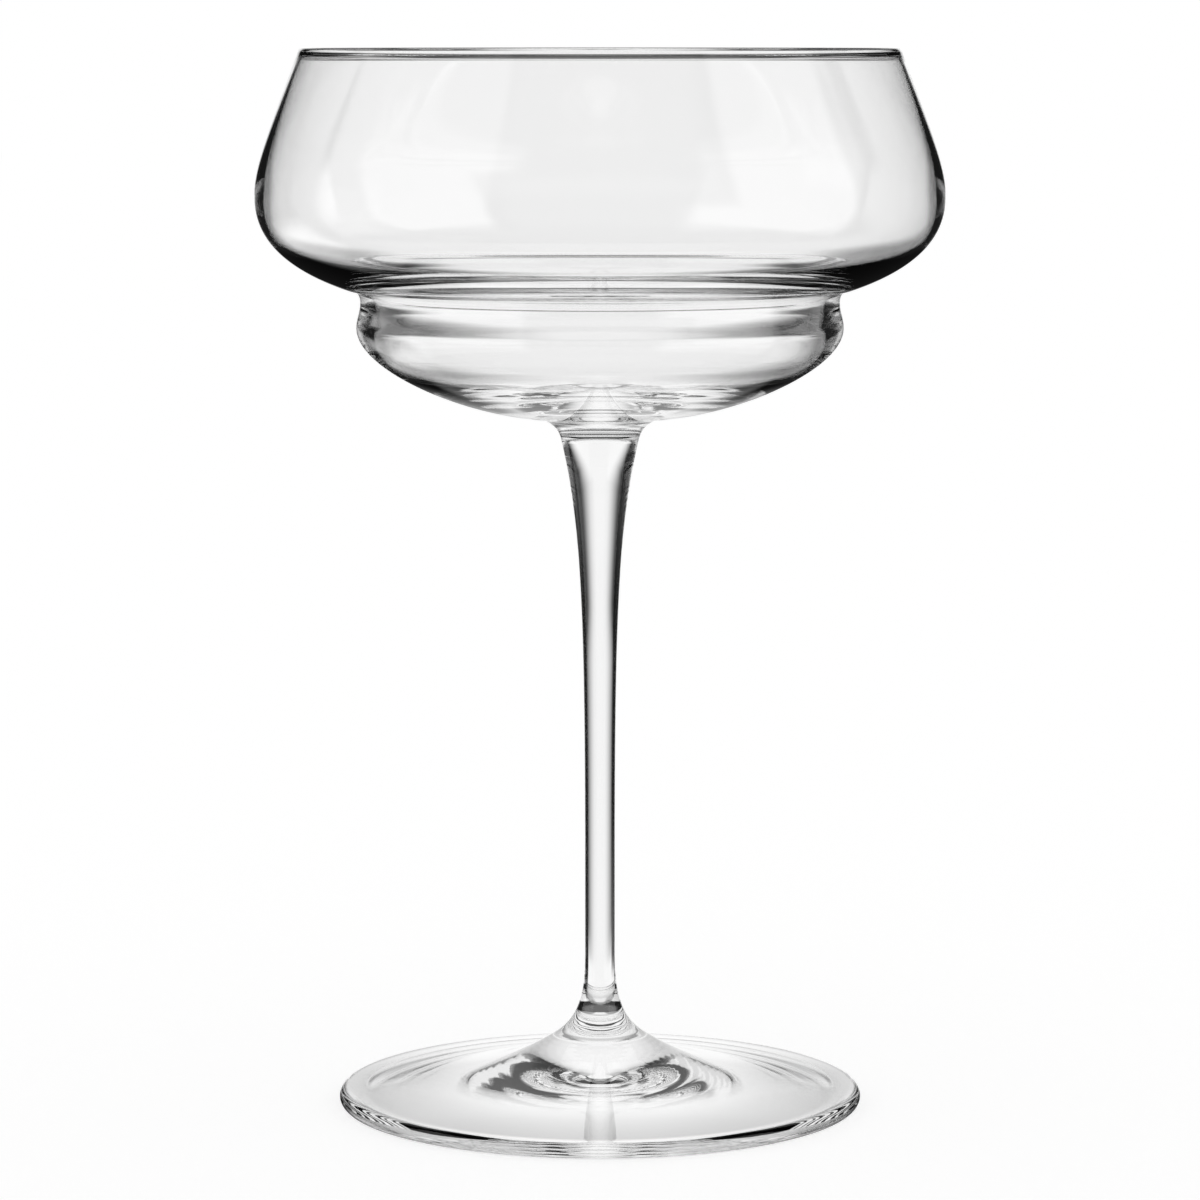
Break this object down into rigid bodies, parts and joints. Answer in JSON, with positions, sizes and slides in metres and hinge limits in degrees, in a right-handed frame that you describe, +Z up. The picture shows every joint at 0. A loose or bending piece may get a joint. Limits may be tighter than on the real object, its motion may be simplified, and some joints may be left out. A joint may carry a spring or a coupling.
{
  "type": "stemmed cocktail glass",
  "caption": "Clear stemmed cocktail glass with a wide stepped bowl that tapers in to the rim, a slim solid stem and a round hollow foot, for serving a chilled drink.",
  "frame": {"origin": "centre of the foot on the plane that the glass stands on", "axes": "+Z up along the axis that the whole glass is turned about; +X to the right and -Y towards the viewer of the picture"},
  "size_m": [0.1066, 0.1066, 0.165],
  "materials": {
    "clear_glass": "polished"
  },
  "bodies": {
    "root": {"bowl": "clear_glass", "stem": "clear_glass", "foot": "clear_glass"}
  },
  "joints": []
}
